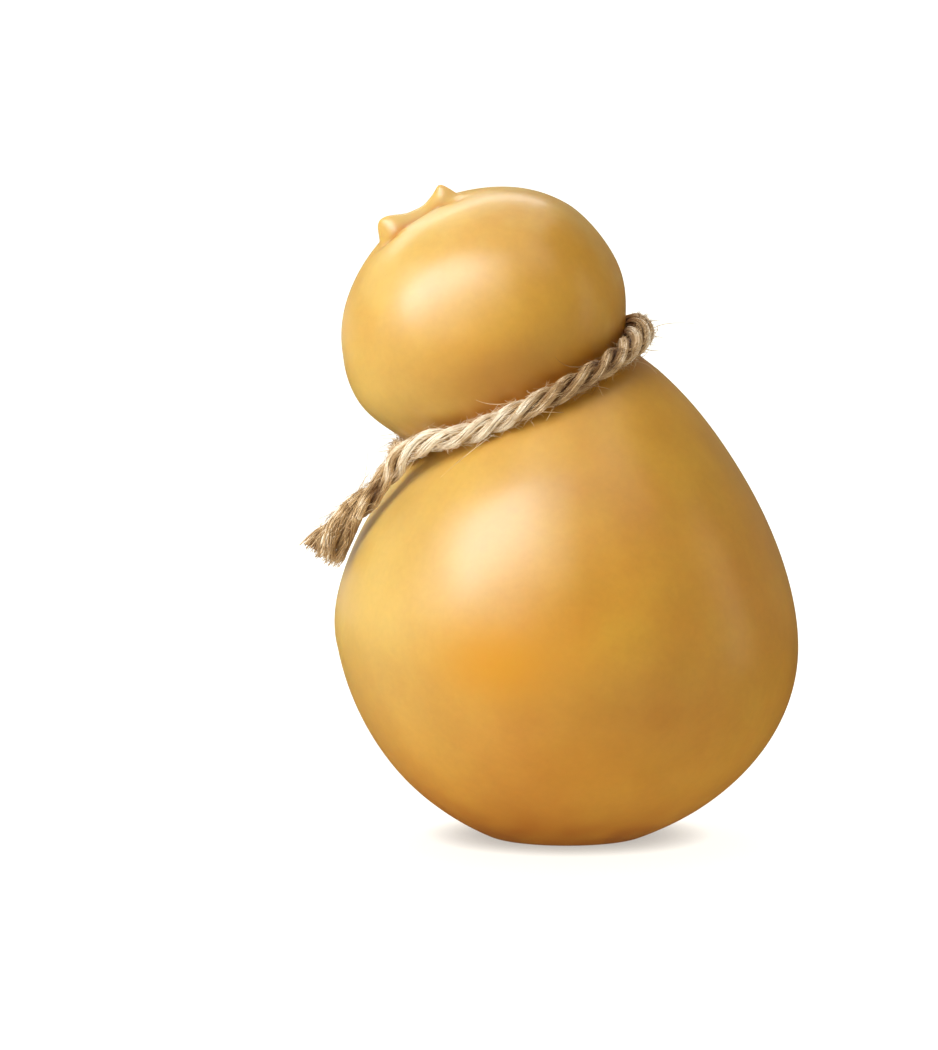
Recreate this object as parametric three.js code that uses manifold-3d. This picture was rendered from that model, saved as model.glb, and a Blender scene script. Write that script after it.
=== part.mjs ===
// A smoked scamorza: a pear-shaped cheese with a tied neck and a leaning head, and the jute rope round it.
// Millimetres, +Z up. The flat spot that it rests on is centred on the origin.
// The front is -Y and the head leans to -X.
import * as THREE from "three";
import { mergeVertices } from "three/addons/utils/BufferGeometryUtils.js";
import Module from "manifold-3d";

// Profile of the cheese: a radius at a height along the axis, before the axis is bent.
const FOOT_RADIUS = 14.4;
const FOOT_RISE = THREE.MathUtils.degToRad(22);
const FOOT_HANDLE = 22.5;
const BELLY_RADIUS = 42.6;
const BELLY_HEIGHT = 37.5;
const BELLY_HANDLE_DOWN = 12.1;
const BELLY_HANDLE_UP = 11.5;
const SHOULDER_RADIUS = 33.6;
const SHOULDER_HEIGHT = 66;
const SHOULDER_FALL = THREE.MathUtils.degToRad(29.5);
const SHOULDER_HANDLE = 9;
const NECK_RADIUS = 21.8;
const NECK_HEIGHT = 82.3;
const NECK_HANDLE = 2.6;
const CHEEK_RADIUS = 26.95;
const CHEEK_HEIGHT = 96.5;
const CHEEK_HANDLE_DOWN = 7;
const CHEEK_HANDLE_UP = 9.9;
const CROWN_RADIUS = 8.6;
const CROWN_HEIGHT = 120;
const CROWN_FALL = THREE.MathUtils.degToRad(19);
const CROWN_HANDLE = 14;
const BRIM_HANDLE = 3;
const DIMPLE_HANDLE = 4;
const DIMPLE_DEPTH = 0.8;

// The axis: upright below, then bent to the left on one arc, then straight through the head.
const BEND_START = 34.9;
const BEND_END = 106;
const LEAN = THREE.MathUtils.degToRad(33);
const SWAY = 1.29;
const SWAY_LENGTH = 78.2;

// The tie pulls the neck askew: its groove rises to the right and is drawn a little that way.
const NECK_SKEW = 1.4;
const NECK_SHIFT = 0.6;
const NECK_PULL_SPAN = 10;

// The pinched fold that crowns the head: a knob, a saddle and a peak, seen from the front.
const CREST_HALF_LENGTH = 8.6;
const CREST_KNOB = { along: -6.2, high: 2.4 };
const CREST_SADDLE = { along: 0.4, high: 1.3 };
const CREST_PEAK = { along: 5.5, high: 3.5 };
const CREST_ROOT = -2.5;
const CREST_THICK = 3.4;
const CREST_ROUNDING = 1.2;
const CREST_WAVE = 0.9;
const CREST_FLARE = 0.16;

// The rope: three strands laid to the left, tied round the neck, with a short frayed tail.
const ROPE_RADIUS = 2;
const ROPE_STRANDS = 3;
const ROPE_VALLEY = 0.24;
const ROPE_PITCH = 16.7;
const RING_RADIUS = 25.15;
const RING_SAG = 0.9;
const TUCK_THIN = 0.18;
const TUCK_LENGTH = 9;
const TAIL_SWELL = 0.4;
const TAIL_SWELL_LENGTH = 16;
const FRAY_SPREAD = 0.6;
const FRAY_LENGTH = 4.5;

// Fineness of the facets.
const ROUND_STEPS = 72;
const PROFILE_STEPS = 11;
const STRAND_STEPS = 5;
const ROPE_STEP = 1.45;

const clamp01 = (value) => THREE.MathUtils.clamp(value, 0, 1);

// Carries a point of the straight cheese (across, depth, height along the axis) to its place on the bent one.
function bend(straightAcross, depth, straightHeight) {
  const nearNeck = Math.exp(-(((straightHeight - NECK_HEIGHT) / NECK_PULL_SPAN) ** 2));
  const height = straightHeight + NECK_SKEW * (straightAcross / NECK_RADIUS) * nearNeck;
  const across = straightAcross + NECK_SHIFT * nearNeck;
  const arc = (BEND_END - BEND_START) / LEAN;
  const turn = LEAN * clamp01((height - BEND_START) / (BEND_END - BEND_START));
  const beyond = Math.max(height - BEND_END, 0);
  const sway = SWAY * Math.sin(2 * Math.PI * clamp01(height / SWAY_LENGTH));
  const axisX = sway - arc * (1 - Math.cos(turn)) - beyond * Math.sin(LEAN);
  const axisZ = Math.min(height, BEND_START) + arc * Math.sin(turn) + beyond * Math.cos(LEAN);
  return new THREE.Vector3(axisX + across * Math.cos(turn), depth, axisZ + across * Math.sin(turn));
}

function bendGeometry(geometry) {
  const place = geometry.getAttribute("position");
  for (let i = 0; i < place.count; i++) {
    const moved = bend(place.getX(i), place.getY(i), place.getZ(i));
    place.setXYZ(i, moved.x, moved.y, moved.z);
  }
  return geometry;
}

// Half of the outline, from the middle of the foot to the middle of the crown.
function cheeseProfile() {
  const half = new THREE.Path();
  half.moveTo(0, 0);
  half.lineTo(FOOT_RADIUS, 0);
  half.bezierCurveTo(
    FOOT_RADIUS + FOOT_HANDLE * Math.cos(FOOT_RISE), FOOT_HANDLE * Math.sin(FOOT_RISE),
    BELLY_RADIUS, BELLY_HEIGHT - BELLY_HANDLE_DOWN,
    BELLY_RADIUS, BELLY_HEIGHT,
  );
  half.bezierCurveTo(
    BELLY_RADIUS, BELLY_HEIGHT + BELLY_HANDLE_UP,
    SHOULDER_RADIUS + SHOULDER_HANDLE * Math.sin(SHOULDER_FALL),
    SHOULDER_HEIGHT - SHOULDER_HANDLE * Math.cos(SHOULDER_FALL),
    SHOULDER_RADIUS, SHOULDER_HEIGHT,
  );
  half.bezierCurveTo(
    SHOULDER_RADIUS - SHOULDER_HANDLE * Math.sin(SHOULDER_FALL),
    SHOULDER_HEIGHT + SHOULDER_HANDLE * Math.cos(SHOULDER_FALL),
    NECK_RADIUS, NECK_HEIGHT - NECK_HANDLE,
    NECK_RADIUS, NECK_HEIGHT,
  );
  half.bezierCurveTo(
    NECK_RADIUS, NECK_HEIGHT + NECK_HANDLE,
    CHEEK_RADIUS, CHEEK_HEIGHT - CHEEK_HANDLE_DOWN,
    CHEEK_RADIUS, CHEEK_HEIGHT,
  );
  half.bezierCurveTo(
    CHEEK_RADIUS, CHEEK_HEIGHT + CHEEK_HANDLE_UP,
    CROWN_RADIUS + CROWN_HANDLE * Math.cos(CROWN_FALL), CROWN_HEIGHT - CROWN_HANDLE * Math.sin(CROWN_FALL),
    CROWN_RADIUS, CROWN_HEIGHT,
  );
  half.bezierCurveTo(
    CROWN_RADIUS - BRIM_HANDLE * Math.cos(CROWN_FALL), CROWN_HEIGHT + BRIM_HANDLE * Math.sin(CROWN_FALL),
    DIMPLE_HANDLE, CROWN_HEIGHT - DIMPLE_DEPTH,
    0, CROWN_HEIGHT - DIMPLE_DEPTH,
  );
  return half.getPoints(PROFILE_STEPS);
}

function cheeseBody() {
  const turned = new THREE.LatheGeometry(cheeseProfile(), ROUND_STEPS);
  turned.rotateX(Math.PI / 2);
  return bendGeometry(turned);
}

// The crest is a plate with rounded edges that stands across the crown, waved and thicker at its root.
function cheeseCrest() {
  const side = new THREE.Shape();
  const inner = CREST_ROUNDING;
  side.moveTo(-CREST_HALF_LENGTH + inner, CREST_ROOT);
  side.splineThru([
    new THREE.Vector2(-CREST_HALF_LENGTH + inner, 0),
    new THREE.Vector2(CREST_KNOB.along, CREST_KNOB.high - inner),
    new THREE.Vector2(CREST_SADDLE.along, CREST_SADDLE.high - inner),
    new THREE.Vector2(CREST_PEAK.along, CREST_PEAK.high - inner),
    new THREE.Vector2(CREST_HALF_LENGTH - inner, 0),
  ]);
  side.lineTo(CREST_HALF_LENGTH - inner, CREST_ROOT);
  const depth = CREST_THICK - 2 * CREST_ROUNDING;
  const plate = new THREE.ExtrudeGeometry(side, {
    depth,
    curveSegments: 4,
    bevelThickness: CREST_ROUNDING,
    bevelSize: CREST_ROUNDING,
    bevelSegments: 3,
  });
  plate.translate(0, 0, -depth / 2);
  plate.rotateX(Math.PI / 2);
  const place = plate.getAttribute("position");
  for (let i = 0; i < place.count; i++) {
    const wave = CREST_WAVE * Math.sin((Math.PI * place.getX(i)) / CREST_HALF_LENGTH);
    const flare = 1 + CREST_FLARE * (CREST_PEAK.high - place.getZ(i));
    place.setY(i, wave + flare * place.getY(i));
  }
  plate.translate(0, 0, CROWN_HEIGHT);
  return bendGeometry(plate);
}

// A point beside the cheese: degrees round the axis from the right, height along it, distance from it.
function around(degrees, height, radius) {
  const angle = THREE.MathUtils.degToRad(degrees);
  return bend(radius * Math.cos(angle), radius * Math.sin(angle), height);
}

// The route of the rope: from the frayed tip up the left shoulder, over the tucked end, and once round
// the neck by the front, the right and the back, to the end that is held under the tail.
function ropeRoute() {
  const tail = [
    around(190.5, 62, 42.2),
    around(193, 65.4, 40.5),
    around(198, 69.8, 38),
    around(202.5, 73.2, 35.9),
    around(206, 76, 33.8),
    around(208.5, 78.6, 31.6),
    around(210.5, 80.7, 29.9),
    around(214, 82.3, 28.6),
    around(220, 83.1, 27.3),
    around(229, 83, 26),
  ];
  const ring = [];
  for (let degrees = 242; degrees < 530; degrees += 32) {
    const sag = RING_SAG * Math.sin(THREE.MathUtils.degToRad(degrees));
    ring.push(around(degrees, NECK_HEIGHT + sag, RING_RADIUS));
  }
  const tuck = [
    around(542, NECK_HEIGHT, 25),
    around(556, NECK_HEIGHT - 0.1, 24.6),
    around(570, NECK_HEIGHT - 0.2, 24.1),
  ];
  return new THREE.CatmullRomCurve3([...tail, ...ring, ...tuck]);
}

// Outline of the laid strands across the rope, as a unit shape.
function ropeSection() {
  const count = ROPE_STRANDS * STRAND_STEPS;
  const rim = [];
  for (let i = 0; i < count; i++) {
    const angle = (2 * Math.PI * i) / count;
    const lobe = Math.abs(Math.cos((ROPE_STRANDS * angle) / 2));
    const reach = 1 - ROPE_VALLEY * (1 - lobe);
    rim.push(new THREE.Vector2(reach * Math.cos(angle), reach * Math.sin(angle)));
  }
  return new THREE.Shape(rim);
}

function ropeBody() {
  const route = ropeRoute();
  route.arcLengthDivisions = 1200;
  const length = route.getLength();
  const steps = Math.round(length / ROPE_STEP);
  const frames = route.computeFrenetFrames(steps, false);
  const laid = new THREE.ExtrudeGeometry(ropeSection(), { depth: 1, steps, bevelEnabled: false });
  const place = laid.getAttribute("position");
  for (let i = 0; i < place.count; i++) {
    const part = place.getZ(i);
    const run = part * length;
    const swell = TAIL_SWELL * Math.exp(-((run / TAIL_SWELL_LENGTH) ** 2));
    const fray = FRAY_SPREAD * Math.exp(-((run / FRAY_LENGTH) ** 2));
    const tuck = TUCK_THIN * Math.exp(-(((length - run) / TUCK_LENGTH) ** 2));
    const radius = ROPE_RADIUS * (1 + swell + fray - tuck);
    const twist = (-2 * Math.PI * run) / ROPE_PITCH;
    const section = new THREE.Vector2(place.getX(i), place.getY(i));
    section.rotateAround(new THREE.Vector2(), twist).multiplyScalar(radius);
    const frame = Math.round(part * steps);
    const moved = route.getPointAt(part);
    moved.addScaledVector(frames.normals[frame], section.x);
    moved.addScaledVector(frames.binormals[frame], section.y);
    place.setXYZ(i, moved.x, moved.y, moved.z);
  }
  return laid;
}

const wasm = await Module();
wasm.setup();

function toSolid(geometry) {
  geometry.deleteAttribute("normal");
  geometry.deleteAttribute("uv");
  const merged = mergeVertices(geometry, 1e-4);
  return new wasm.Manifold(new wasm.Mesh({
    numProp: 3,
    vertProperties: new Float32Array(merged.getAttribute("position").array),
    triVerts: new Uint32Array(merged.index.array),
  }));
}

function toGeometry(solid) {
  const mesh = solid.getMesh();
  const geometry = new THREE.BufferGeometry();
  geometry.setAttribute("position", new THREE.BufferAttribute(mesh.vertProperties, 3));
  geometry.setIndex(new THREE.BufferAttribute(mesh.triVerts, 1));
  geometry.computeVertexNormals();
  return geometry;
}

function node(name, geometry, color, roughness) {
  const material = new THREE.MeshStandardMaterial({ color, roughness, metalness: 0 });
  const mesh = new THREE.Mesh(geometry, material);
  mesh.name = name;
  return mesh;
}

const cheese = toSolid(cheeseBody()).add(toSolid(cheeseCrest()));
const rope = toSolid(ropeBody());

const part = new THREE.Group();
part.name = "smoked_scamorza";
part.add(node("cheese", toGeometry(cheese), 0xd79a45, 0.42));
part.add(node("rope", toGeometry(rope), 0xb9986a, 0.92));
export default part;
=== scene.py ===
# %% [markdown]
# # A smoked scamorza
# Scamorza is a stretched-curd cheese. It is tied round the neck with a jute rope, hung up and smoked, which
# gives it a pear-shaped body, a round head and a thin satin rind between amber and ochre. The CAD model is
# loaded first as a fixed frame, in metres, and every piece made here stands where its solid stands.

# %% Load the frame
import math
import random
import bpy
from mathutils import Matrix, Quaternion, Vector, noise


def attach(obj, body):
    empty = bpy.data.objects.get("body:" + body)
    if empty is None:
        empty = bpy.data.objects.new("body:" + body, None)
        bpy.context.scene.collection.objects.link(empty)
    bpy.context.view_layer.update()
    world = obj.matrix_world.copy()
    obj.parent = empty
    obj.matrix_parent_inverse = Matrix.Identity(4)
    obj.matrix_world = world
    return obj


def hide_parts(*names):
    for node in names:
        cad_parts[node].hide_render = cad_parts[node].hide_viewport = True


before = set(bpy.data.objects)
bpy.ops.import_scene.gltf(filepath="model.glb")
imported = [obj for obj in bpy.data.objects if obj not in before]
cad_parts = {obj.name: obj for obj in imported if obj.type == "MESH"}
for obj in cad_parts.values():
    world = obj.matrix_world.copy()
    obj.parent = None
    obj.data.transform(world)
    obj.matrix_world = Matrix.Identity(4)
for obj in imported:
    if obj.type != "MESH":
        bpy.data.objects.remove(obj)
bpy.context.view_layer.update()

MM = 0.001
print("CAD nodes:", sorted(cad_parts))

# %% [markdown]
# ## The camera
# The photograph was taken straight on, from a little above the table, with a long lens. The view could be
# matched by eye, but numbers are easier to trust: the frame is 1050 pixels high, and one pixel is
# 0.184 mm at the cheese, so the lens follows from the distance. Blender fits the sensor to the longer
# side, which is the height.

# %% Camera
PIXEL = 0.184 * MM
PHOTO_ROWS = 1050
CAMERA_DISTANCE = 0.9
CAMERA_RISE = math.radians(5.5)
AIM = Vector((-17.85, 0, 57.4)) * MM

toward_cheese = Vector((0, math.cos(CAMERA_RISE), -math.sin(CAMERA_RISE)))
bpy.ops.object.select_all(action="DESELECT")
bpy.ops.object.camera_add(location=AIM - CAMERA_DISTANCE * toward_cheese,
                          rotation=(math.pi / 2 - CAMERA_RISE, 0, 0))
camera = bpy.context.object
camera.name = "photo_camera"
camera.data.lens = camera.data.sensor_width * CAMERA_DISTANCE / (PHOTO_ROWS * PIXEL)
bpy.context.scene.camera = camera
# The plain view keeps whites white, as in a cut-out photograph
bpy.context.scene.view_settings.view_transform = "Standard"
print("lens in mm:", round(camera.data.lens, 1))

# %% [markdown]
# ## Colours and nodes
# Colours are given as sRGB hex values, as a painter would read them from a swatch. Shaders work in linear
# light, so one function converts them. Another adds a shader node, fills in its settings, joins its inputs
# and, on a colour ramp, sets the stops. Nodes could be placed by hand, but written out they can be read.

# %% Helpers for materials
def srgb(text):
    parts = [int(text[i:i + 2], 16) / 255 for i in (1, 3, 5)]
    return tuple(c / 12.92 if c < 0.04045 else ((c + 0.055) / 1.055) ** 2.4 for c in parts) + (1.0,)

def new_material(name):
    material = bpy.data.materials.new(name)
    material.use_nodes = True
    material.node_tree.nodes.clear()
    return material

def add_node(material, kind, inputs=None, stops=(), **settings):
    made = material.node_tree.nodes.new(kind)
    for name, value in settings.items():
        setattr(made, name, value)
    for name, value in (inputs or {}).items():
        if isinstance(value, bpy.types.NodeSocket):
            material.node_tree.links.new(value, made.inputs[name])
        else:
            made.inputs[name].default_value = value
    for number, (place, colour) in enumerate(stops):
        marks = made.color_ramp.elements
        mark = marks[number] if number < len(marks) else marks.new(place)
        mark.position = place
        mark.color = srgb(colour)
    return made

print("middle grey in linear light:", round(srgb("#808080")[0], 3))

# %% [markdown]
# ## The profile of the cheese
# A maker shapes the curd by turning it in the hands, so the cheese starts as a turned form. Spheres could
# be blended to this shape, but a half outline says more with less: one curve each, in millimetres, from
# foot to belly, shoulder, neck, cheek, crown and dimple. The curves are those of the solid, give or take
# 0.3 mm.

# %% Half outline in millimetres
FOOT_RADIUS, FOOT_RISE, FOOT_HANDLE = 14.4, math.radians(22), 22.5
FOOT_RINGS = (0.3, 0.6, 0.85, 0.97, 1)
BELLY_RADIUS, BELLY_HEIGHT, BELLY_DOWN, BELLY_UP = 42.6, 37.5, 12.1, 9.3
SHOULDER_RADIUS, SHOULDER_HEIGHT, SHOULDER_FALL, SHOULDER_HANDLE = 33.6, 66, math.radians(29.5), 9.5
NECK_RADIUS, NECK_HEIGHT, NECK_HANDLE = 21.8, 82.3, 2.6
CHEEK_RADIUS, CHEEK_HEIGHT, CHEEK_DOWN, CHEEK_UP = 26.95, 96.5, 7, 9.9
CROWN_RADIUS, CROWN_HEIGHT, CROWN_FALL, CROWN_HANDLE = 8.6, 120, math.radians(19), 14
BRIM_HANDLE, DIMPLE_HANDLE, DIMPLE_DEPTH = 3, 4, 0.8

def bezier(a, b, c, d, steps):
    points = []
    for i in range(1, steps + 1):
        t = i / steps
        weights = ((1 - t) ** 3, 3 * t * (1 - t) ** 2, 3 * t * t * (1 - t), t ** 3)
        points.append(tuple(sum(w * p[k] for w, p in zip(weights, (a, b, c, d))) for k in (0, 1)))
    return points

def polar(corner, angle, length):
    return (corner[0] + length * math.cos(angle), corner[1] + length * math.sin(angle))

foot = (FOOT_RADIUS, 0)
belly = (BELLY_RADIUS, BELLY_HEIGHT)
shoulder = (SHOULDER_RADIUS, SHOULDER_HEIGHT)
neck = (NECK_RADIUS, NECK_HEIGHT)
cheek = (CHEEK_RADIUS, CHEEK_HEIGHT)
crown = (CROWN_RADIUS, CROWN_HEIGHT)
dimple = (0, CROWN_HEIGHT - DIMPLE_DEPTH)
# Each curve: start, two handles, end, and how many points it gets
curves = [
    (foot, polar(foot, FOOT_RISE, FOOT_HANDLE), (BELLY_RADIUS, BELLY_HEIGHT - BELLY_DOWN), belly, 13),
    (belly, (BELLY_RADIUS, BELLY_HEIGHT + BELLY_UP),
     polar(shoulder, SHOULDER_FALL - math.pi / 2, SHOULDER_HANDLE), shoulder, 8),
    (shoulder, polar(shoulder, SHOULDER_FALL + math.pi / 2, SHOULDER_HANDLE),
     (NECK_RADIUS, NECK_HEIGHT - NECK_HANDLE), neck, 9),
    (neck, (NECK_RADIUS, NECK_HEIGHT + NECK_HANDLE), (CHEEK_RADIUS, CHEEK_HEIGHT - CHEEK_DOWN), cheek, 8),
    (cheek, (CHEEK_RADIUS, CHEEK_HEIGHT + CHEEK_UP), polar(crown, -CROWN_FALL, CROWN_HANDLE), crown, 11),
    (crown, polar(crown, math.pi - CROWN_FALL, BRIM_HANDLE), (DIMPLE_HANDLE, dimple[1]), dimple, 8)]
outline = [(FOOT_RADIUS * part, 0) for part in FOOT_RINGS]
for curve in curves:
    outline += bezier(*curve)
print("profile points:", len(outline) + 1)

# %% [markdown]
# ## Turning the cheese
# A plane merged to one point gives a single vertex. It is extruded along the half outline and spun once
# round the upright axis, as on a wheel. A Screw modifier could turn it too, but the spin leaves plain mesh
# that can be shaped further. Seam and poles are merged, and a subdivision surface rounds the facets.

# %% Extrude the outline and spin it
SPIN_STEPS, SEAM_GAP, ROUNDING = 88, 0.01 * MM, 2
bpy.ops.object.select_all(action="DESELECT")
bpy.ops.mesh.primitive_plane_add(size=MM, location=(0, 0, 0))
cheese = bpy.context.object
cheese.name = cheese.data.name = "scamorza_body"
bpy.ops.object.mode_set(mode="EDIT")
bpy.ops.mesh.select_all(action="SELECT")
bpy.ops.mesh.merge(type="CENTER")
reached = (0.0, 0.0)
for radius, height in outline:
    step = ((radius - reached[0]) * MM, 0, (height - reached[1]) * MM)
    bpy.ops.mesh.extrude_region_move(TRANSFORM_OT_translate={"value": step})
    reached = (radius, height)
bpy.ops.mesh.select_all(action="SELECT")
bpy.ops.mesh.spin(steps=SPIN_STEPS, angle=2 * math.pi, center=(0, 0, 0), axis=(0, 0, 1))
bpy.ops.mesh.select_all(action="SELECT")
bpy.ops.mesh.remove_doubles(threshold=SEAM_GAP)
bpy.ops.mesh.normals_make_consistent(inside=False)
bpy.ops.object.mode_set(mode="OBJECT")
rounding = cheese.modifiers.new("rounding", "SUBSURF")
rounding.levels = rounding.render_levels = ROUNDING
bpy.ops.object.modifier_apply(modifier="rounding")
bpy.ops.object.shade_smooth()
print("turned cheese:", len(cheese.data.vertices), "vertices")

# %% [markdown]
# ## Soft hand-made forms
# Nothing shaped by hand is a perfect turning. The wall swells and sinks by a fraction of a millimetre, fine
# pleats run into the neck where the rope gathers the skin, deepest at the left, and a palm has flattened
# the front of the head, which widens its highlight. Brushes could sculpt all this. A short formula that
# moves each vertex gives every form a size in millimetres instead, and comes out alike in each run.

# %% Uneven wall, pleats and a flattened front
SWELL, SWELL_SIZE, RIPPLE, RIPPLE_SIZE, FLAT_FOOT = 0.35, 34, 0.03, 9, 6
PLEATS, PLEAT_DEPTH, PLEAT_REACH, PLEAT_SLANT = 10, 0.3, 7, 25
PLEAT_EVEN, PLEAT_LEFT = 0.6, 0.4
PALM_DEPTH, PALM_TURN, PALM_HEIGHT, PALM_WIDE, PALM_TALL = 2.3, math.radians(270), 106, 15, 14
ON_AXIS, NEAR_AXIS = 1e-6, 8

def bell(x, width, power=2):
    return math.exp(-abs(x / width) ** power)

def uneven_wall(x, y, height):
    radius = math.hypot(x, y)
    if radius <= ON_AXIS:
        return x, y
    spot = Vector((x, y, height))
    swell = SWELL * noise.noise(spot / SWELL_SIZE) + RIPPLE * noise.noise(spot / RIPPLE_SIZE)
    swell *= min(1, height / FLAT_FOOT)
    round_neck = Vector((x, y, 0)) * PLEATS / radius + Vector((0, 0, height / PLEAT_SLANT))
    pleat = PLEAT_DEPTH * bell(height - NECK_HEIGHT, PLEAT_REACH) * noise.noise(round_neck)
    pleat *= PLEAT_EVEN - PLEAT_LEFT * x / radius
    aside = radius * math.remainder(math.atan2(y, x) - PALM_TURN, 2 * math.pi)
    palm = PALM_DEPTH * bell(aside, PALM_WIDE) * bell(height - PALM_HEIGHT, PALM_TALL)
    grown = 1 + (swell + pleat - palm) / max(radius, NEAR_AXIS)
    return x * grown, y * grown

front = uneven_wall(0, -CHEEK_RADIUS, PALM_HEIGHT)
print("front of the head moves in by", round(CHEEK_RADIUS + front[1], 1), "mm")

# %% [markdown]
# ## The crest on the crown
# Where the curd was pinched shut, a low crest stays on the crown: a round knob, a saddle and a peak, with a
# shallow moat along it and a dip between it and the brim. It could be a piece of its own, joined by a
# boolean, but the real one grows out of the skin without a seam. So the crown's own vertices are lifted to
# a side outline of a few points, each given as a place along the crest and a rise over the crown.

# %% Crest, moat and dip
CREST = [(-9.5, -1.5), (-8.0, -0.8), (-7.3, 1.6), (-6.4, 3.2), (-4.8, 3.5), (-3.4, 3.0), (-0.9, 1.75),
         (2.3, 1.25), (4.6, 1.9), (6.4, 2.8), (7.2, 3.3), (8.0, 1.6), (8.7, -0.4), (9.5, -1.5)]
CREST_HALF_THICK, CREST_HALF_LENGTH, CREST_THINNEST, CREST_STEEP = 1.8, 10.2, 0.1, 3
CREST_OUT, CREST_WAVE, CREST_WAVE_LENGTH, CREST_ROUND = -2.5, 0.8, 8, 0.12
MOAT_DEPTH, MOAT_AT, MOAT_WIDTH, MOAT_LENGTH, MOAT_ENDS = 0.6, 3.2, 1.1, 8.5, 4
DIP_DEPTH, DIP_ALONG, DIP_LENGTH, DIP_OUT, DIP_WIDTH = 0.5, 4, 7, -7, 4.5
SOFT_STEP, SOFT_STEPS = 0.2, range(-4, 5)

def on_lines(along):
    for (a, low), (b, high) in zip(CREST, CREST[1:]):
        if a <= along < b:
            return low + (high - low) * (along - a) / (b - a)
    return CREST[0][1]

def crest_rise(along):
    return sum(on_lines(along + SOFT_STEP * k) for k in SOFT_STEPS) / len(SOFT_STEPS)

def pinch(x, y, height):
    off = y - CREST_OUT - CREST_WAVE * math.sin(math.pi * x / CREST_WAVE_LENGTH)
    moat = bell(abs(off) - MOAT_AT, MOAT_WIDTH) * bell(x, MOAT_LENGTH, MOAT_ENDS)
    thick = CREST_HALF_THICK * math.sqrt(max(1 - (x / CREST_HALF_LENGTH) ** 2, CREST_THINNEST))
    rise = crest_rise(x * (1 + CREST_ROUND * (off / thick) ** 2))
    lift = max(0, CROWN_HEIGHT + rise - height)
    return lift / (1 + abs(off / thick) ** CREST_STEEP) - MOAT_DEPTH * moat, moat

def dip(x, y):
    return DIP_DEPTH * bell(x - DIP_ALONG, DIP_LENGTH) * bell(y - DIP_OUT, DIP_WIDTH)

print("crest rises", round(max(crest_rise(along) for along, rise in CREST), 1), "mm over the crown")

# %% [markdown]
# ## Shape and painted shade together
# Painted shade darkens the rind where shadow gathers: in the groove of the neck, round the foot and in
# the moat of the crest. The forms above and this painted shade depend on the same place on the turned
# cheese, so one function gives both. The shade could be painted by hand on the vertices. A formula
# follows the forms by itself.

# %% Where a vertex goes and how much painted shade it gets
# Painted shade: darker brown rind in the neck groove, round the foot and in the moat, where shadow gathers
NECK_PAINTED_SHADE, NECK_SHADE_REACH = 0.65, 3.5
FOOT_PAINTED_SHADE, FOOT_SHADE_REACH = 0.85, 7
MOAT_PAINTED_SHADE = 0.7
PATCHY, PATCH_SIZE = 0.6, 5
CREST_ZONE_RADIUS, CREST_ZONE_DEPTH = 12, 4

def shape_by_hand(x, y, height):
    patch = 1 + PATCHY * noise.noise(Vector((x, y, height)) / PATCH_SIZE)
    # Painted shade in the groove of the neck and round the foot
    painted_shade = NECK_PAINTED_SHADE * bell(height - NECK_HEIGHT, NECK_SHADE_REACH)
    painted_shade += FOOT_PAINTED_SHADE * bell(height, FOOT_SHADE_REACH)
    on_crown = height > CROWN_HEIGHT - CREST_ZONE_DEPTH and math.hypot(x, y) < CREST_ZONE_RADIUS
    x, y = uneven_wall(x, y, height)
    sink = dip(x, y) if height > CHEEK_HEIGHT else 0
    if on_crown:
        rise, moat = pinch(x, y, height)
        height += rise
        # Painted shade along the moat of the crest
        painted_shade = MOAT_PAINTED_SHADE * moat
    return (x, y, height - sink), painted_shade * patch

print("stain in the groove:", round(shape_by_hand(NECK_RADIUS, 0, NECK_HEIGHT)[1], 2))

# %% [markdown]
# ## Leaning the head
# The rope hangs the cheese askew while it is smoked, so the head leans. A Simple Deform modifier bends too,
# but on one plain arc. Here the axis sways a little, bends on an arc from the belly up and runs straight
# through the crown, and the groove of the neck is drawn up to the right. So the bend is a function of its
# own.

# %% Bend of the axis
BEND_START, BEND_END, LEAN = 34.9, 106, math.radians(33)
SWAY, SWAY_LENGTH = 1.29, 78.2
NECK_SKEW, NECK_SHIFT, NECK_PULL_SPAN = 1.4, 0.6, 10

def bend(across, depth, height):
    near_neck = bell(height - NECK_HEIGHT, NECK_PULL_SPAN)
    height += NECK_SKEW * across / NECK_RADIUS * near_neck
    across += NECK_SHIFT * near_neck
    arc = (BEND_END - BEND_START) / LEAN
    turn = LEAN * min(max((height - BEND_START) / (BEND_END - BEND_START), 0), 1)
    beyond = max(height - BEND_END, 0)
    sway = SWAY * math.sin(2 * math.pi * min(max(height / SWAY_LENGTH, 0), 1))
    axis_x = sway - arc * (1 - math.cos(turn)) - beyond * math.sin(LEAN)
    axis_z = min(height, BEND_START) + arc * math.sin(turn) + beyond * math.cos(LEAN)
    return Vector((axis_x + across * math.cos(turn), depth, axis_z + across * math.sin(turn))) * MM

print("crown moves to", [round(x / MM, 1) for x in bend(0, 0, CROWN_HEIGHT)])

# %% [markdown]
# ## Blushes and painted shade spots
# Smoke colours a rind unevenly. An orange blush lies on the belly and a few fainter ones elsewhere, and two
# spots of painted shade lie under the cheek and at the right of the belly. Random noise would put them
# anywhere, so each is a soft spot, wider than high, with its own centre, size and strength. Both marks are
# stored as numbers on the vertices for the material to read.

# %% Shape the cheese and mark it
BLUSHES = [(-12, -40, 36.5, 12, 0.85), (-19, -26, 92, 7, 0.15), (6, -40, 16, 14, 0.3),
           (38, 14, 44, 15, 0.5), (-6, 41, 34, 14, 0.5), (-34, 20, 52, 12, 0.35), (6, 26, 98, 9, 0.5)]
# Two spots of painted shade: under the cheek and at the right of the belly
PAINTED_SHADE_SPOTS = [(-13, -25, 86, 11, 0.4), (9, -41, 28, 14, 0.2)]
SPOT_FLAT = 1.6

def spot_at(place, spots):
    x, y, z = place / MM
    return max(strength * bell(math.hypot(x - a, y - b, (z - c) * SPOT_FLAT), size)
               for a, b, c, size, strength in spots)

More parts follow.
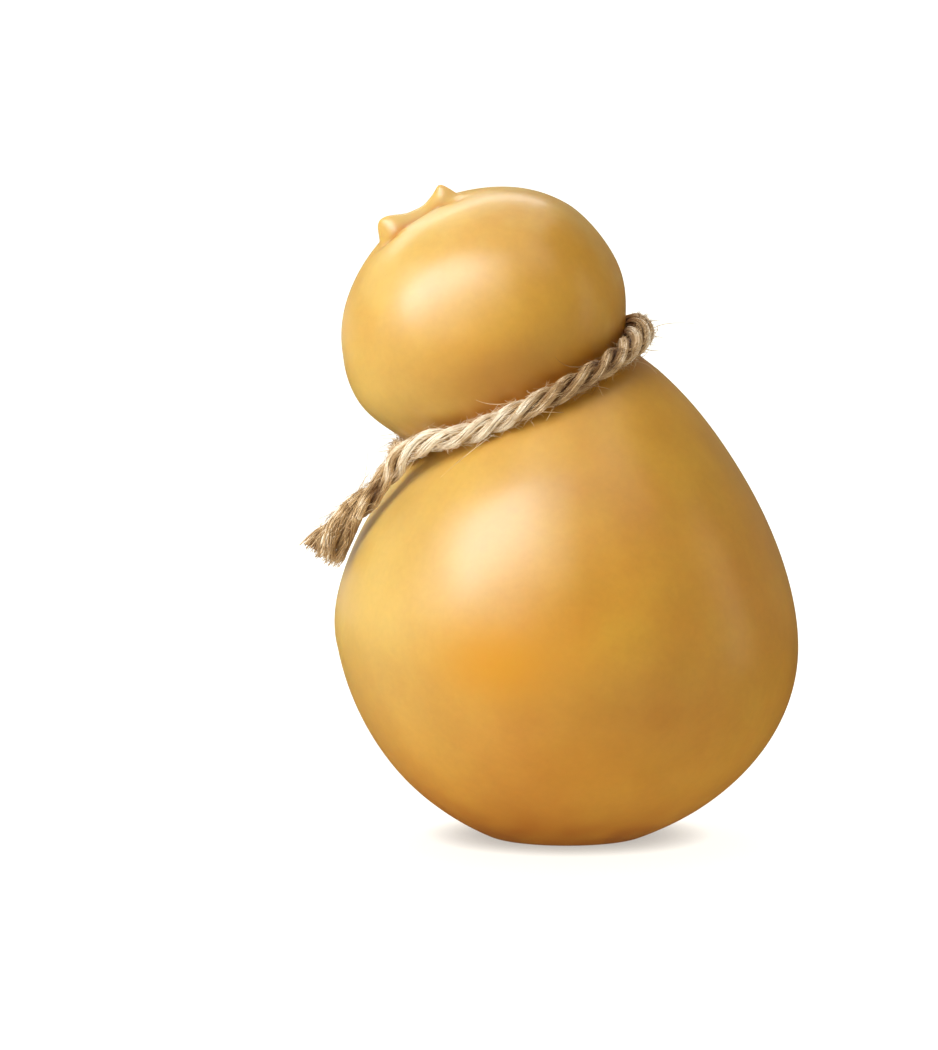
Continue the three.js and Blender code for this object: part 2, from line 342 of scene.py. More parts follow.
painted_shades = []
blushes = []
for vertex in cheese.data.vertices:
    place, painted_shade = shape_by_hand(*(vertex.co / MM))
    vertex.co = bend(*place)
    # Painted shade from the groove, foot, moat and the two spots, stored for the material
    painted_shades.append(painted_shade + spot_at(vertex.co, PAINTED_SHADE_SPOTS))
    blushes.append(spot_at(vertex.co, BLUSHES))
for name, values in (("rind_painted_shade", painted_shades), ("smoke_blush", blushes)):
    cheese.data.attributes.new(name, "FLOAT", "POINT").data.foreach_set("value", values)
cheese.data.update()
print("cheese stands", round(max(v.co.z for v in cheese.data.vertices) / MM, 1), "mm high")

# %% [markdown]
# ## The colour of the rind
# The rind is curd dried and stained by smoke. It goes from orange ochre at the foot to pale amber at the
# crown, with slow drifts of a few centimetres between them; the palest amber at the crown is painted light.
# The left side, which faces the keys, is painted paler: painted light as well. A painted picture could hold
# this, but noise on Object coordinates needs no picture and no seams.

# %% Rind tone from foot to crown, with painted light at the crown and at the left
# The palest stop is painted light for the crest and brim; the other stops are the smoked tone
SMOKE_TONES_AND_PAINTED_LIGHT = [(0.1, "#BE7826"), (0.35, "#C3842A"), (0.65, "#C18E2D"), (0.84, "#C38E2C"), (1.0, "#CAA456")]
# Paler rind painted on the side that the keys light
PAINTED_LIGHT_RIND = "#C5A55C"
DRIFT_SIZE = 38 * MM

def drifting_tone(rind, place, axes):
    level = add_node(rind, "ShaderNodeMapRange", {
        "Value": axes.outputs["Z"], "From Min": 0.0, "From Max": CROWN_HEIGHT * MM,
        "To Min": -0.2, "To Max": 0.45})
    drift = add_node(rind, "ShaderNodeTexNoise", {
        "Vector": place, "Scale": 1 / DRIFT_SIZE, "Detail": 4.0, "Roughness": 0.55})
    shift = add_node(rind, "ShaderNodeMath", {
        0: drift.outputs["Fac"], 1: level.outputs["Result"]}, operation="ADD")
    return add_node(rind, "ShaderNodeValToRGB", {"Fac": shift.outputs["Value"]}, SMOKE_TONES_AND_PAINTED_LIGHT)

# Painted light: the left side, toward the keys, is mixed toward a paler rind
def painted_light_left(rind, axes, tone):
    left = add_node(rind, "ShaderNodeMapRange", {
        "Value": axes.outputs["X"], "From Min": -34 * MM, "From Max": 2 * MM,
        "To Min": 0.8, "To Max": 0.0})
    above_foot = add_node(rind, "ShaderNodeMapRange", {
        "Value": axes.outputs["Z"], "From Min": 5 * MM, "From Max": 42 * MM})
    below_head = add_node(rind, "ShaderNodeMapRange", {
        "Value": axes.outputs["Z"], "From Min": 70 * MM, "From Max": 92 * MM,
        "To Min": 1.0, "To Max": 0.65})
    band = add_node(rind, "ShaderNodeMath", {
        0: above_foot.outputs["Result"], 1: below_head.outputs["Result"]}, operation="MULTIPLY")
    pale = add_node(rind, "ShaderNodeMath", {
        0: left.outputs["Result"], 1: band.outputs["Value"]}, operation="MULTIPLY")
    return add_node(rind, "ShaderNodeMix", {
        "Factor": pale.outputs["Value"], "A": tone.outputs["Color"], "B": srgb(PAINTED_LIGHT_RIND)},
        data_type="RGBA")

print("rind tones:", len(SMOKE_TONES_AND_PAINTED_LIGHT), "drifting over", round(DRIFT_SIZE / MM), "mm")

# %% [markdown]
# ## Mottle, blush and painted shade
# From near, the rind is mottled: spots of about a centimetre are a little lighter or warmer, and a fine
# grain runs through them. Real grain is a few tenths of a millimetre wide, too fine to show, so it is drawn
# at 1.4 mm. Over that come the orange blush and the brown painted shade that were stored on the vertices.

# %% Mottle, blush and painted shade
# The blush is the rind's own colour; the darker brown is painted shade
BLUSH_RIND, PAINTED_SHADE_RIND = "#CC8C1C", "#A9641C"
GRAIN_SIZE = 1.4 * MM
# Most of a noise texture's values lie in this span
NOISE_SPAN = {"From Min": 0.3, "From Max": 0.7}

def mottled(rind, place, mottle, colour):
    shade = add_node(rind, "ShaderNodeMapRange", {
        "Value": mottle.outputs["Fac"], **NOISE_SPAN, "To Min": 0.94, "To Max": 1.055})
    warmth = add_node(rind, "ShaderNodeMapRange", {
        "Value": mottle.outputs["Fac"], **NOISE_SPAN, "To Min": 0.4975, "To Max": 0.5025})
    grain = add_node(rind, "ShaderNodeTexNoise", {
        "Vector": place, "Scale": 1 / GRAIN_SIZE, "Detail": 3.0, "Roughness": 0.6})
    speck = add_node(rind, "ShaderNodeMapRange", {
        "Value": grain.outputs["Fac"], **NOISE_SPAN, "To Min": 0.97, "To Max": 1.03})
    value = add_node(rind, "ShaderNodeMath", {
        0: shade.outputs["Result"], 1: speck.outputs["Result"]}, operation="MULTIPLY")
    return add_node(rind, "ShaderNodeHueSaturation", {
        "Color": colour.outputs["Result"], "Value": value.outputs["Value"],
        "Hue": warmth.outputs["Result"]})

def blush_and_painted_shade(rind, colour):
    blush = add_node(rind, "ShaderNodeAttribute", attribute_name="smoke_blush")
    warm = add_node(rind, "ShaderNodeMix", {
        "Factor": blush.outputs["Fac"], "A": colour.outputs["Color"], "B": srgb(BLUSH_RIND)},
        data_type="RGBA")
    # Painted shade darkens the rind where the vertices carry it
    painted_shade = add_node(rind, "ShaderNodeAttribute", attribute_name="rind_painted_shade")
    return add_node(rind, "ShaderNodeMix", {
        "Factor": painted_shade.outputs["Fac"], "A": warm.outputs["Result"], "B": srgb(PAINTED_SHADE_RIND)},
        data_type="RGBA")

print("grain drawn at", round(GRAIN_SIZE / MM, 1), "mm")

# %% [markdown]
# ## The smoked rind
# The skin is fatty and slightly see-through: light sinks in a little before it comes back, which softens
# the shadows, and a satin gloss lies on top. A plain diffuse surface would look like plaster. So a
# Principled shader gets some subsurface light, an IOR above that of wax for the bright highlights that the
# photograph shows, and a roughness that follows the mottle, so that no highlight is even.

# %% Material: smoked cheese rind
MOTTLE_SIZE = 13 * MM
# Real pores are about 0.2 mm wide, and are drawn larger to show at all
PORE_SIZE, PORE_DEPTH = 0.9 * MM, 0.05 * MM

def smoked_rind():
    rind = new_material("smoked_cheese_rind")
    place = add_node(rind, "ShaderNodeTexCoord").outputs["Object"]
    axes = add_node(rind, "ShaderNodeSeparateXYZ", {"Vector": place})
    mottle = add_node(rind, "ShaderNodeTexNoise", {
        "Vector": place, "Scale": 1 / MOTTLE_SIZE, "Detail": 2.0, "Roughness": 0.5})
    tone = painted_light_left(rind, axes, drifting_tone(rind, place, axes))
    colour = blush_and_painted_shade(rind, mottled(rind, place, mottle, tone))
    # Satin that varies from spot to spot gives the eye a hand-rubbed skin, not a varnish
    gloss = add_node(rind, "ShaderNodeMapRange", {
        "Value": mottle.outputs["Fac"], **NOISE_SPAN, "To Min": 0.29, "To Max": 0.34})
    pores = add_node(rind, "ShaderNodeTexNoise", {"Vector": place, "Scale": 1 / PORE_SIZE, "Detail": 2.0})
    skin = add_node(rind, "ShaderNodeBump", {
        "Height": pores.outputs["Fac"], "Strength": 0.1, "Distance": PORE_DEPTH})
    wax = add_node(rind, "ShaderNodeBsdfPrincipled", {
        "Base Color": colour.outputs["Result"], "Roughness": gloss.outputs["Result"], "IOR": 1.56,
        "Normal": skin.outputs["Normal"], "Subsurface Weight": 0.35, "Subsurface Scale": 2.5 * MM,
        "Subsurface Radius": (1.0, 0.5, 0.2)})
    add_node(rind, "ShaderNodeOutputMaterial", {"Surface": wax.outputs["BSDF"]})
    return rind

cheese.data.materials.append(smoked_rind())
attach(cheese, "root")
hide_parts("cheese")
print("rind on", cheese.name)

# %% [markdown]
# ## The route of the rope
# The rope lies in the groove of the neck and its two ends cross at the left: one is tucked under, the other
# comes over it and hangs as a short tail. It could be drawn as a curve by hand. Points given round the
# cheese, as an angle in degrees, a height and a distance, follow its bend by themselves. The route is that
# of the solid, drawn closer to the rind, lifted a little at its right bend and tucked further in. A smooth
# curve joins the points.

# %% Route through the points round the neck
RING_RADIUS, RING_SAG, RING_TURNS = 24.5, 0.9, range(242, 530, 32)
RING_LIFT, LIFT_TURN, LIFT_SPAN = 1.2, 378, 34
TAIL_POINTS = [(190.5, 62, 42.2), (191, 65.2, 40.3), (193, 69.3, 37.4), (197, 72.7, 35), (201, 75.6, 32.8),
               (204.5, 78.4, 30.7), (208, 80.6, 29.2), (213.5, 82.3, 28.5), (220, 83.1, 27.3),
               (229, 83, 26)]
TUCK_POINTS = [(542, NECK_HEIGHT, 24.4), (556, NECK_HEIGHT - 0.1, 24.2), (570, NECK_HEIGHT - 0.2, 24),
               (588, NECK_HEIGHT - 0.5, 23.6)]
CURVE_PIECES = 60

def ring_height(turn):
    sag = RING_SAG * math.sin(math.radians(turn))
    return NECK_HEIGHT + sag + RING_LIFT * bell(turn - LIFT_TURN, LIFT_SPAN)

def around(turn, height, radius):
    angle = math.radians(turn)
    return bend(radius * math.cos(angle), radius * math.sin(angle), height) / MM

def smooth_through(points, pieces):
    ends = [2 * points[0] - points[1]] + points + [2 * points[-1] - points[-2]]
    curve = []
    for p0, p1, p2, p3 in zip(ends, ends[1:], ends[2:], ends[3:]):
        d0, d1, d2 = ((q - p).length ** 0.5 for p, q in ((p0, p1), (p1, p2), (p2, p3)))
        m1 = ((p1 - p0) / d0 - (p2 - p0) / (d0 + d1) + (p2 - p1) / d1) * d1
        m2 = ((p2 - p1) / d1 - (p3 - p1) / (d1 + d2) + (p3 - p2) / d2) * d1
        square = 3 * (p2 - p1) - 2 * m1 - m2
        cube = 2 * (p1 - p2) + m1 + m2
        for i in range(pieces):
            t = i / pieces
            curve.append(p1 + m1 * t + square * t * t + cube * t ** 3)
    return curve + [points[-1]]

ring_points = [(turn, ring_height(turn), RING_RADIUS) for turn in RING_TURNS]
rough = smooth_through([around(*p) for p in TAIL_POINTS + ring_points + TUCK_POINTS], CURVE_PIECES)
print("route points:", len(rough))

# %% [markdown]
# ## A frame along the rope
# The strands wind about the route, so each station needs two directions across it that don't spin by
# themselves. A curve's own normals can flip where it straightens. So one direction is carried from station
# to station, and only corrected to stay square to the rope.

# %% Even stations with a carried frame
STATION_GAP = 0.5

def even_stations(curve, gap):
    stations, run, want = [], 0.0, 0.0
    for p, q in zip(curve, curve[1:]):
        long = (q - p).length
        while want <= run + long:
            stations.append(p.lerp(q, (want - run) / long))
            want += gap
        run += long
    return stations, run

centres, ROPE_LENGTH = even_stations(rough, STATION_GAP)
befores = centres[:1] + centres[:-1]
afters = centres[1:] + centres[-1:]
alongs = [(after - before).normalized() for before, after in zip(befores, afters)]
sides = []
side = alongs[0].orthogonal().normalized()
for along in alongs:
    side = (side - along * side.dot(along)).normalized()
    sides.append(side)
ups = [along.cross(side) for along, side in zip(alongs, sides)]
print("rope length in mm:", round(ROPE_LENGTH, 1), "with", len(centres), "stations")

# %% [markdown]
# ## The lay of the strands
# Tying rope is three strands of jute laid together to the left, one turn in about 17 mm. Toward the cut tip
# the lay slackens and the strands part, with a narrow waist a little above, where the tail was nipped. The
# rope also swells at its right bend and thins where it is tucked. A twisted mesh would keep one pitch and
# one thickness, so both are functions of the run along the rope, in millimetres from the cut tip.

# %% Thickness and lay along the rope
ROPE_RADIUS, ROPE_PITCH, STRANDS = 2.08, 16.7, 3
TUCK_THIN, TUCK_LENGTH = 0.18, 9
TAIL_SWELL, TAIL_SWELL_LENGTH, FRAY_SPREAD, FRAY_LENGTH = 0.5, 15, 0.5, 4.5
BEND_SWELL, BEND_SWELL_LENGTH = 0.4, 13
WAIST, WAIST_AT, WAIST_LENGTH = 0.22, 16.8, 2.0
SLACK, SLACK_LENGTH = 0.6, 20

bend_run = STATION_GAP * max(range(len(centres)), key=lambda i: centres[i].x)

def rope_radius(run):
    run = max(run, 0)
    swell = TAIL_SWELL * bell(run, TAIL_SWELL_LENGTH) + FRAY_SPREAD * bell(run, FRAY_LENGTH)
    swell += BEND_SWELL * bell(run - bend_run, BEND_SWELL_LENGTH)
    swell -= WAIST * bell(run - WAIST_AT, WAIST_LENGTH)
    return ROPE_RADIUS * (1 + swell - TUCK_THIN * bell(ROPE_LENGTH - run, TUCK_LENGTH))

lays = [0.0]
for i in range(1, len(centres)):
    rate = 1 - SLACK * bell(i * STATION_GAP, SLACK_LENGTH)
    lays.append(lays[-1] - 2 * math.pi * STATION_GAP * rate / ROPE_PITCH)

def on_rope(run):
    i = min(max(int(run / STATION_GAP), 0), len(centres) - 2)
    t = run / STATION_GAP - i
    centre, side, up = (row[i].lerp(row[i + 1], t) for row in (centres, sides, ups))
    return centre, side, up, lays[i] + (lays[i + 1] - lays[i]) * t

print("turns of the lay:", round(-lays[-1] / (2 * math.pi), 1), "right bend at", round(bend_run), "mm")

# %% [markdown]
# ## Fibre bundles
# A strand isn't a smooth tube. It is a loose bundle of fibres that wind inside it the other way, which is
# what keeps a real rope from opening. A bump texture could draw them, but they would vanish at the outline.
# So each bundle is a curve with a thin round bevel that wanders a little on its way. It also notes how far
# it lies on the crest of its strand, which gets painted light, while its grooves get painted shade.

# %% Curves for the bundles of each strand
BUNDLES, BUNDLE_PITCH, BUNDLE_RADIUS, BUNDLE_STEP = 36, 30, 0.15, 0.9
STRAND_OFFSET, STRAND_RADIUS = 0.53, 0.40
OUTER_REACH, INNER_REACH, INNER_EVERY = (0.86, 1.0), (0.3, 0.7), 4
STRAND_STOPS, STOP_UNEVEN = (0.0, 0.6, 0.9), 0.8
PLACE_UNEVEN, WANDER_LENGTH, WANDER_SPIN, WANDER_REACH, WANDER_THICK = 0.4, 6, 0.5, 0.22, 0.3
# Painted light on the crest of each strand and painted shade in its grooves
STRAND_PAINTED_LIGHT_AND_SHADE = 0.3
SEED, SEED_SPAN = 11, (0, 99)
# Vector noise starts from the clock unless it gets a seed, and every run has to come out alike
dice = random.Random(SEED)
noise.seed_set(SEED)

def strand_point(run, strand, spin, reach):
    centre, side, up, lay = on_rope(run)
    lay += 2 * math.pi * strand / STRANDS
    outward = side * math.cos(lay) + up * math.sin(lay)
    turned = side * math.cos(lay + spin) + up * math.sin(lay + spin)
    return centre + rope_radius(run) * (outward * STRAND_OFFSET + turned * reach)

def bundle_path(strand, number):
    phase = 2 * math.pi * (number + dice.uniform(-PLACE_UNEVEN, PLACE_UNEVEN)) / BUNDLES
    reach = STRAND_RADIUS * dice.uniform(*(OUTER_REACH if number % INNER_EVERY else INNER_REACH))
    seed = Vector((dice.uniform(*SEED_SPAN), dice.uniform(*SEED_SPAN), 0))
    start = max(STRAND_STOPS[strand] + dice.uniform(-STOP_UNEVEN, STOP_UNEVEN), 0)
    path = []
    for k in range(int((ROPE_LENGTH - start) / BUNDLE_STEP)):
        run = start + k * BUNDLE_STEP
        wander = noise.noise_vector(seed + Vector((run / WANDER_LENGTH, 0, 0)))
        spin = phase + 2 * math.pi * run / BUNDLE_PITCH + WANDER_SPIN * wander.x
        place = strand_point(run, strand, spin, reach * (1 + WANDER_REACH * wander.y))
        thick = (1 + WANDER_THICK * wander.z) * math.sqrt(rope_radius(run) / ROPE_RADIUS)
        path.append((place, thick, STRAND_PAINTED_LIGHT_AND_SHADE * math.cos(spin) * reach / STRAND_RADIUS))
    return path

bundles = [bundle_path(strand, number) for strand in range(STRANDS) for number in range(BUNDLES)]
print("bundles:", len(bundles), "with", sum(len(path) for path in bundles), "points")

# %% [markdown]
# ## Loose hairs
# Jute sheds. Short hairs stand off all along the rope, a few long ones droop from it, and some lie along
# it. A hair system would do for a render, but it is no mesh and is lost when the model leaves Blender. So
# each hair is a thin curve too, thrown with the same seeded dice, on the side that looks away from the
# neck.

# %% Curves for the hairs
HAIRS, LONG_HAIRS, LYING_HAIRS = 2400, 60, 40
HAIR_STEPS, HAIR_TAPER, HAIR_CURL, HAIR_ROOT = 6, 0.7, 0.2, 0.9
TIP_CLEAR, TUCK_CLEAR, NECK_AXIS_X = 3, 12, -11
STAND_SPREAD, LEAN_SPREAD = (0.5, 1.5), (0.6, 1.4)

def hair_path(long, thick, lift, fall):
    run = dice.uniform(TIP_CLEAR, ROPE_LENGTH - TUCK_CLEAR)
    centre, side, up, _ = on_rope(run)
    outward = Vector((centre.x - NECK_AXIS_X, centre.y, 0)).normalized()
    angle = dice.uniform(0, 2 * math.pi)
    root = side * math.cos(angle) + up * math.sin(angle)
    if root.dot(outward) < 0:
        root = -root
    stand = root * lift * dice.uniform(*STAND_SPREAD)
    lean = up.cross(side) * dice.choice((-1, 1)) * dice.uniform(*LEAN_SPREAD)
    way = (stand + lean).normalized()
    curl = Vector([dice.uniform(-1, 1) for _ in range(3)]) * HAIR_CURL - Vector((0, 0, fall))
    place = centre + root * rope_radius(run) * HAIR_ROOT
    path = []
    for k in range(HAIR_STEPS + 1):
        path.append((place, thick * (1 - HAIR_TAPER * k / HAIR_STEPS), 0))
        place = place + way * long / HAIR_STEPS
        way = (way + curl).normalized()
    return path

# Length in millimetres, then thickness, lift off the rope and fall
hairs = [hair_path(dice.uniform(0.8, 2.4), 1, 0.35, 0.02) for _ in range(HAIRS)]
hairs += [hair_path(dice.uniform(3, 6.5), 1.7, 0.5, 0.07) for _ in range(LONG_HAIRS)]
hairs += [hair_path(dice.uniform(7, 13), 1.5, 0.12, 0.03) for _ in range(LYING_HAIRS)]
print("hairs:", len(hairs))

# %% [markdown]
# ## The frayed tip
# At the cut end nothing holds the lay any more, and the fibres spread like a brush. Cutting the bundles off
# square would look like a machine's work. So finer fibres start inside each strand a centimetre up, flare
# toward the tip and end at uneven lengths.

# %% Curves for the frayed end
FRAY_FIBRES, FRAY_FROM, FRAY_STEPS = 420, 11, 9
FRAY_REACH, FRAY_TURN, FRAY_FLARE, FRAY_TAPER = 0.46, 0.7, 0.25, 0.5
FRAY_UNEVEN = (-1.4, 1.2)

def fray_path():
    strand = dice.randrange(STRANDS)
    spin = dice.uniform(0, 2 * math.pi)
    turn = dice.uniform(-FRAY_TURN, FRAY_TURN)
    reach = FRAY_REACH * math.sqrt(dice.random())
    stop = STRAND_STOPS[strand] + dice.uniform(*FRAY_UNEVEN)
    path = []
    for k in range(FRAY_STEPS + 1):
        part = k / FRAY_STEPS
        run = FRAY_FROM + (stop - FRAY_FROM) * part
        place = strand_point(run, strand, spin + turn * part, reach * (1 + FRAY_FLARE * part ** 3))
        path.append((place, 1 - FRAY_TAPER * part, 0))
    return path

frays = [fray_path() for _ in range(FRAY_FIBRES)]
print("frayed fibres:", len(frays))

# %% [markdown]
# ## From curves to meshes
# A curve is easy to steer but can't hold a tone for each fibre, and the part is kept as meshes. Converting
# a bevelled curve keeps its section and closes its ends with caps. The caps come with vertices of their
# own, which are merged with the rings once the tones are stored.

# %% Bevelled curves turned to meshes
MERGE_GAP = 0.0005 * MM

def curve_mesh(name, paths, bevel):
    data = bpy.data.curves.new(name, "CURVE")
    data.dimensions = "3D"
    data.use_fill_caps = True
    data.bevel_depth = bevel * MM
    data.bevel_resolution = 0
    for path in paths:
        spline = data.splines.new("POLY")
        spline.points.add(len(path) - 1)
        for point, (place, thick, _) in zip(spline.points, path):
            point.co = (*(place * MM), 1)
            point.radius = thick
    piece = bpy.data.objects.new(name, data)
    bpy.context.scene.collection.objects.link(piece)
    bpy.ops.object.select_all(action="DESELECT")
    piece.select_set(True)
    bpy.context.view_layer.objects.active = piece
    bpy.ops.object.convert(target="MESH")
    bpy.ops.object.shade_smooth()
    return piece

def close_caps():
    bpy.ops.object.mode_set(mode="EDIT")
    bpy.ops.mesh.select_all(action="SELECT")
    bpy.ops.mesh.remove_doubles(threshold=MERGE_GAP)
    bpy.ops.mesh.normals_make_consistent(inside=False)
    bpy.ops.object.mode_set(mode="OBJECT")

print("caps merge within", MERGE_GAP / MM, "mm")

# %% [markdown]
# ## A tone for every fibre
# No two jute fibres have quite the same colour. The tail is also darker, the right half of the ring
# carries a painted shadow of the head, and the nipped waist of the tail carries painted shade. Noise alone
# would speckle the rope without telling fibres apart, so each fibre throws a tone of its own, which drifts
# along its length, and the darkening is taken off it.

# %% Fibre tones and the three rope pieces
ROUND = 4
TONE_SPREAD, TONE_DRIFT, TONE_SIZE = 0.08, 0.3, 2.5 * MM
TAIL_FROM, TAIL_FADE, TAIL_DARK = -27, 8, 0.24
# Painted shadow of the head over the right half of the ring
HEAD_SHADOW_AT, HEAD_SHADOW_SPAN, HEAD_SHADOW_EDGE, HEAD_SHADOW_DARK = 4, 10.5, 3, 0.46
# Painted shade at the nipped waist of the tail
WAIST_PAINTED_SHADE, WAIST_SIZE = 0.45, 2.2
waist = on_rope(WAIST_AT)[0]

# Darker tail, plus painted shadow on the ring and painted shade at the waist
def tail_tone_and_painted_shade(place):
    darkening = TAIL_DARK * min(max((TAIL_FROM - place.x) / TAIL_FADE, 0), 1)
    darkening += HEAD_SHADOW_DARK * bell(place.x - HEAD_SHADOW_AT, HEAD_SHADOW_SPAN, HEAD_SHADOW_EDGE)
    return darkening + WAIST_PAINTED_SHADE * bell((place - waist).length, WAIST_SIZE)

def fibre_piece(name, paths, bevel, pale):
    piece = curve_mesh(name, paths, bevel)
    bases = [dice.gauss(pale, TONE_SPREAD) for _ in paths]
    # The caps' vertices come first, from the last curve to the first, and then the rings in order
    owners = [base for base in reversed(bases) for _ in range(2 * ROUND)]
    for base, path in zip(bases, paths):
        # The crest value adds painted light on a strand's crest and painted shade in its grooves
        owners += [base + crest for _, _, crest in path for _ in range(ROUND)]
    tones = []
    for base, vertex in zip(owners, piece.data.vertices, strict=True):
        tones.append(base - tail_tone_and_painted_shade(vertex.co / MM) + TONE_DRIFT * noise.noise(vertex.co / TONE_SIZE))
    piece.data.attributes.new("fibre_tone", "FLOAT", "POINT").data.foreach_set("value", tones)
    close_caps()
    print(name, len(piece.data.polygons), "faces")
    return piece

# Radius of a fibre in millimetres, then its mean tone
rope_pieces = [fibre_piece("rope_strands", bundles, BUNDLE_RADIUS, 0.58),
               fibre_piece("rope_hairs", hairs, 0.05, 0.65),
               fibre_piece("rope_fray", frays, 0.11, 0.55)]

# %% [markdown]
# ## Jute
# Jute is a dry bast fibre, spun and laid but never polished. It gives the eye a matt, pale straw to brown,
# with no gloss but a faint silky sheen along the fibres. A wood-like texture would run across the strands.
# The tone stored on each fibre picks the colour instead, so that single fibres stand out from the others.

# %% Material: dry jute fibre
JUTE_TONES = [(0.05, "#7C572E"), (0.45, "#CAA878"), (0.85, "#F5E8CF")]

def jute():
    fibre = new_material("dry_jute_fibre")
    tone = add_node(fibre, "ShaderNodeAttribute", attribute_name="fibre_tone")
    colour = add_node(fibre, "ShaderNodeValToRGB", {"Fac": tone.outputs["Fac"]}, JUTE_TONES)
    # Loose fibre holds air, so it mirrors less than solid cellulose and gets a low IOR
    dry = add_node(fibre, "ShaderNodeBsdfPrincipled", {
        "Base Color": colour.outputs["Color"], "Roughness": 0.95, "IOR": 1.3,
        "Sheen Weight": 0.15, "Sheen Roughness": 0.5})
    add_node(fibre, "ShaderNodeOutputMaterial", {"Surface": dry.outputs["BSDF"]})
    return fibre

jute_fibre = jute()
for piece in rope_pieces:
    piece.data.materials.append(jute_fibre)
    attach(piece, "root")
    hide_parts("rope")
print("jute on", len(rope_pieces), "pieces")

# %% [markdown]
# ## Floor and backdrop
# The cheese stands on a white card that sweeps up behind it, so no horizon shows. A flat plane would end in
# a line across the picture, because the room behind it is dim. The sweep is a plane whose back edge is
# extruded up, with the corner between them bevelled round.

# %% White sweep
SWEEP_SIZE, SWEEP_BACK, SWEEP_WALL = 4, 1.4, 1.0
SWEEP_BEND, SWEEP_SEGMENTS = 0.6, 24
NEAR = 0.01

def select_edges(piece, wanted):
    bpy.ops.object.mode_set(mode="EDIT")
    bpy.ops.mesh.select_mode(type="EDGE")
    bpy.ops.mesh.select_all(action="DESELECT")
    bpy.ops.object.mode_set(mode="OBJECT")
    for edge in piece.data.edges:
        edge.select = all(wanted(piece.data.vertices[v].co) for v in edge.vertices)
    bpy.ops.object.mode_set(mode="EDIT")

bpy.ops.object.select_all(action="DESELECT")
bpy.ops.mesh.primitive_plane_add(size=SWEEP_SIZE, location=(0, SWEEP_BACK - SWEEP_SIZE / 2, 0))
floor = bpy.context.object
floor.name = "white_sweep"
bpy.ops.object.transform_apply(location=True)
select_edges(floor, lambda co: co.y > SWEEP_BACK - NEAR)
bpy.ops.mesh.extrude_region_move(TRANSFORM_OT_translate={"value": (0, 0, SWEEP_WALL)})
select_edges(floor, lambda co: co.y > SWEEP_BACK - NEAR and co.z < NEAR)
bpy.ops.mesh.bevel(offset=SWEEP_BEND, segments=SWEEP_SEGMENTS, affect="EDGES")
bpy.ops.object.mode_set(mode="OBJECT")
bpy.ops.object.shade_smooth()
print("sweep:", len(floor.data.polygons), "faces")

# %% [markdown]
# ## White card
# In the photograph the ground is pure white right up to a small soft shadow at the foot. Light alone would
# leave a grey card or a long shadow. So the card glows, and an ambient occlusion node dims the glow within
# a few millimetres of the cheese, which draws the contact shadow. The card isn't seen in reflections.

# %% Material: matt white card
SHADOW_REACH = 5.8 * MM

def white_card():
    card = new_material("matt_white_card")
    near = add_node(card, "ShaderNodeAmbientOcclusion", {"Distance": SHADOW_REACH}, samples=2)
    glow = add_node(card, "ShaderNodeMapRange", {
        "Value": near.outputs["AO"], "From Min": 0.05, "From Max": 0.8, "To Min": 0.42, "To Max": 0.95})
    matt = add_node(card, "ShaderNodeBsdfPrincipled", {
        "Base Color": srgb("#9A9D98"), "Roughness": 0.9, "Specular IOR Level": 0.2,
        "Emission Color": srgb("#FFFEF8"), "Emission Strength": glow.outputs["Result"]})
    add_node(card, "ShaderNodeOutputMaterial", {"Surface": matt.outputs["BSDF"]})
    return card

floor.data.materials.append(white_card())
floor.visible_glossy = False
print("contact shadow reaches", round(SHADOW_REACH / MM, 1), "mm")

# %% [markdown]
# ## Light
# Two boxes at the upper left in front, a broad one and a brighter core, give the wide satin highlights. A
# strip at the right keeps the shadow side brown, a low one behind at the left lights the edge there, a box
# above lights the crown, and a strip above and behind draws the pale line along the brim. One light can
# rarely shade and shine rightly at once, so three boxes are kept out of the gloss and only fill, and two
# only shine. The keys are cut off from the card by light linking, or they would throw a second shadow on
# it.

# %% Soft boxes
HEART = (-0.008, 0, 0.06)
WHITE, DAYLIGHT = "#FFFFFF", "#F5F9FF"

def soft_box(name, place, width, height, watts, roll=0, colour=WHITE):
    way = Vector(place) - Vector(HEART)
    turn = way.to_track_quat("Z", "Y") @ Quaternion((0, 0, 1), math.radians(roll))
    bpy.ops.object.select_all(action="DESELECT")
    bpy.ops.object.light_add(type="AREA", location=place, rotation=turn.to_euler())
    box = bpy.context.object
    box.name = name
    box.data.shape = "RECTANGLE"
    box.data.size = width
    box.data.size_y = height
    box.data.energy = watts
    box.data.color = srgb(colour)[:3]
    return box

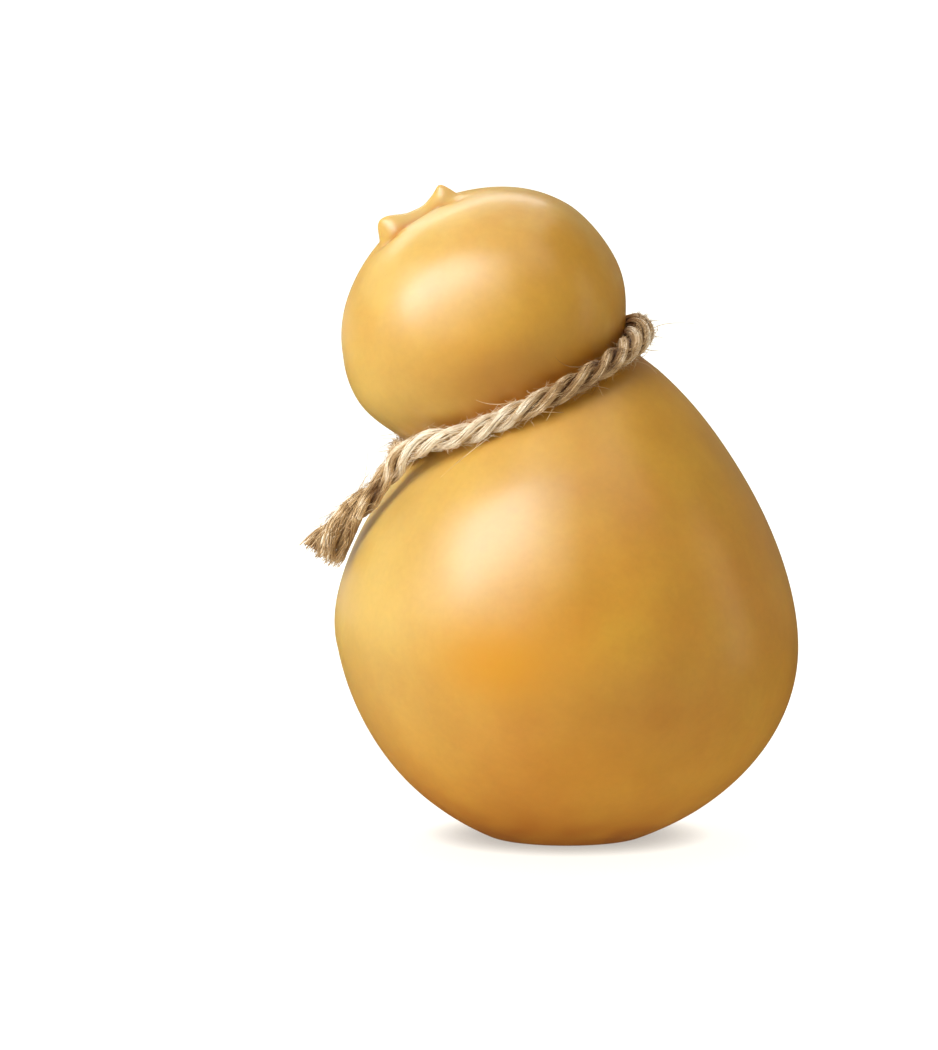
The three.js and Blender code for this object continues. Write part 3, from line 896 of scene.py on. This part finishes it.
# Place, width and height in metres, then watts and roll in degrees
keys = [soft_box("key_box", (-0.66, -0.50, 0.54), 1.1, 0.7, 4.45, 0, DAYLIGHT),
        soft_box("key_core", (-0.54, -0.49, 0.63), 0.72, 0.38, 7, 35, DAYLIGHT)]
strips = [soft_box("right_strip", (1.0, 0.0, 0.25), 0.25, 0.8, 0.5),
          soft_box("top_box", (0, 0.2, 1.5), 1.6, 1.6, 8),
          soft_box("left_strip", (-0.55, 0.75, 0.07), 0.8, 0.16, 0.15),
          soft_box("brim_strip", (-0.19, 0.60, 0.66), 0.9, 0.1, 1.9, -12)]
fills = [soft_box("left_panel", (-0.84, -0.24, 0.1), 1.0, 0.3, 2.3),
         soft_box("fill_box", (0.85, -0.45, 0.3), 0.8, 0.8, 0.6),
         soft_box("back_box", (0, 1.35, 0.5), 2.4, 0.9, 4)]
sheens = [soft_box("sheen_near", (-0.12, -0.75, 0.84), 0.35, 0.55, 2.1, 0, DAYLIGHT),
          soft_box("sheen_far", (0.42, -0.5, 0.94), 0.75, 0.4, 1.2, 0, DAYLIGHT)]
for box in fills:
    box.visible_glossy = False
for box in sheens:
    box.visible_diffuse = False
table = bpy.data.collections.new("table")
table.objects.link(floor)
table.collection_objects[0].light_linking.link_state = "EXCLUDE"
for box in keys:
    box.light_linking.receiver_collection = table
print("soft boxes:", len(keys + strips + fills + sheens))

# %% [markdown]
# ## The room
# What no light covers is the room. An even world would light the cheese from below as well. This one is
# dim and warm above the table and nearly dark below it, so that the underside of the cheese keeps its deep
# brown.

# %% Dim warm room
studio = bpy.data.worlds.new("studio")
studio.use_nodes = True
studio.node_tree.nodes.clear()
bpy.context.scene.world = studio
toward = add_node(studio, "ShaderNodeTexCoord").outputs["Generated"]
axes = add_node(studio, "ShaderNodeSeparateXYZ", {"Vector": toward})
glow = add_node(studio, "ShaderNodeMapRange", {
    "Value": axes.outputs["Z"], "From Min": -0.15, "From Max": 0.1, "To Min": 0.04, "To Max": 0.22})
room = add_node(studio, "ShaderNodeBackground", {
    "Color": srgb("#FFF3DF"), "Strength": glow.outputs["Result"]})
add_node(studio, "ShaderNodeOutputWorld", {"Surface": room.outputs["Background"]})
print("room lit by", studio.name)
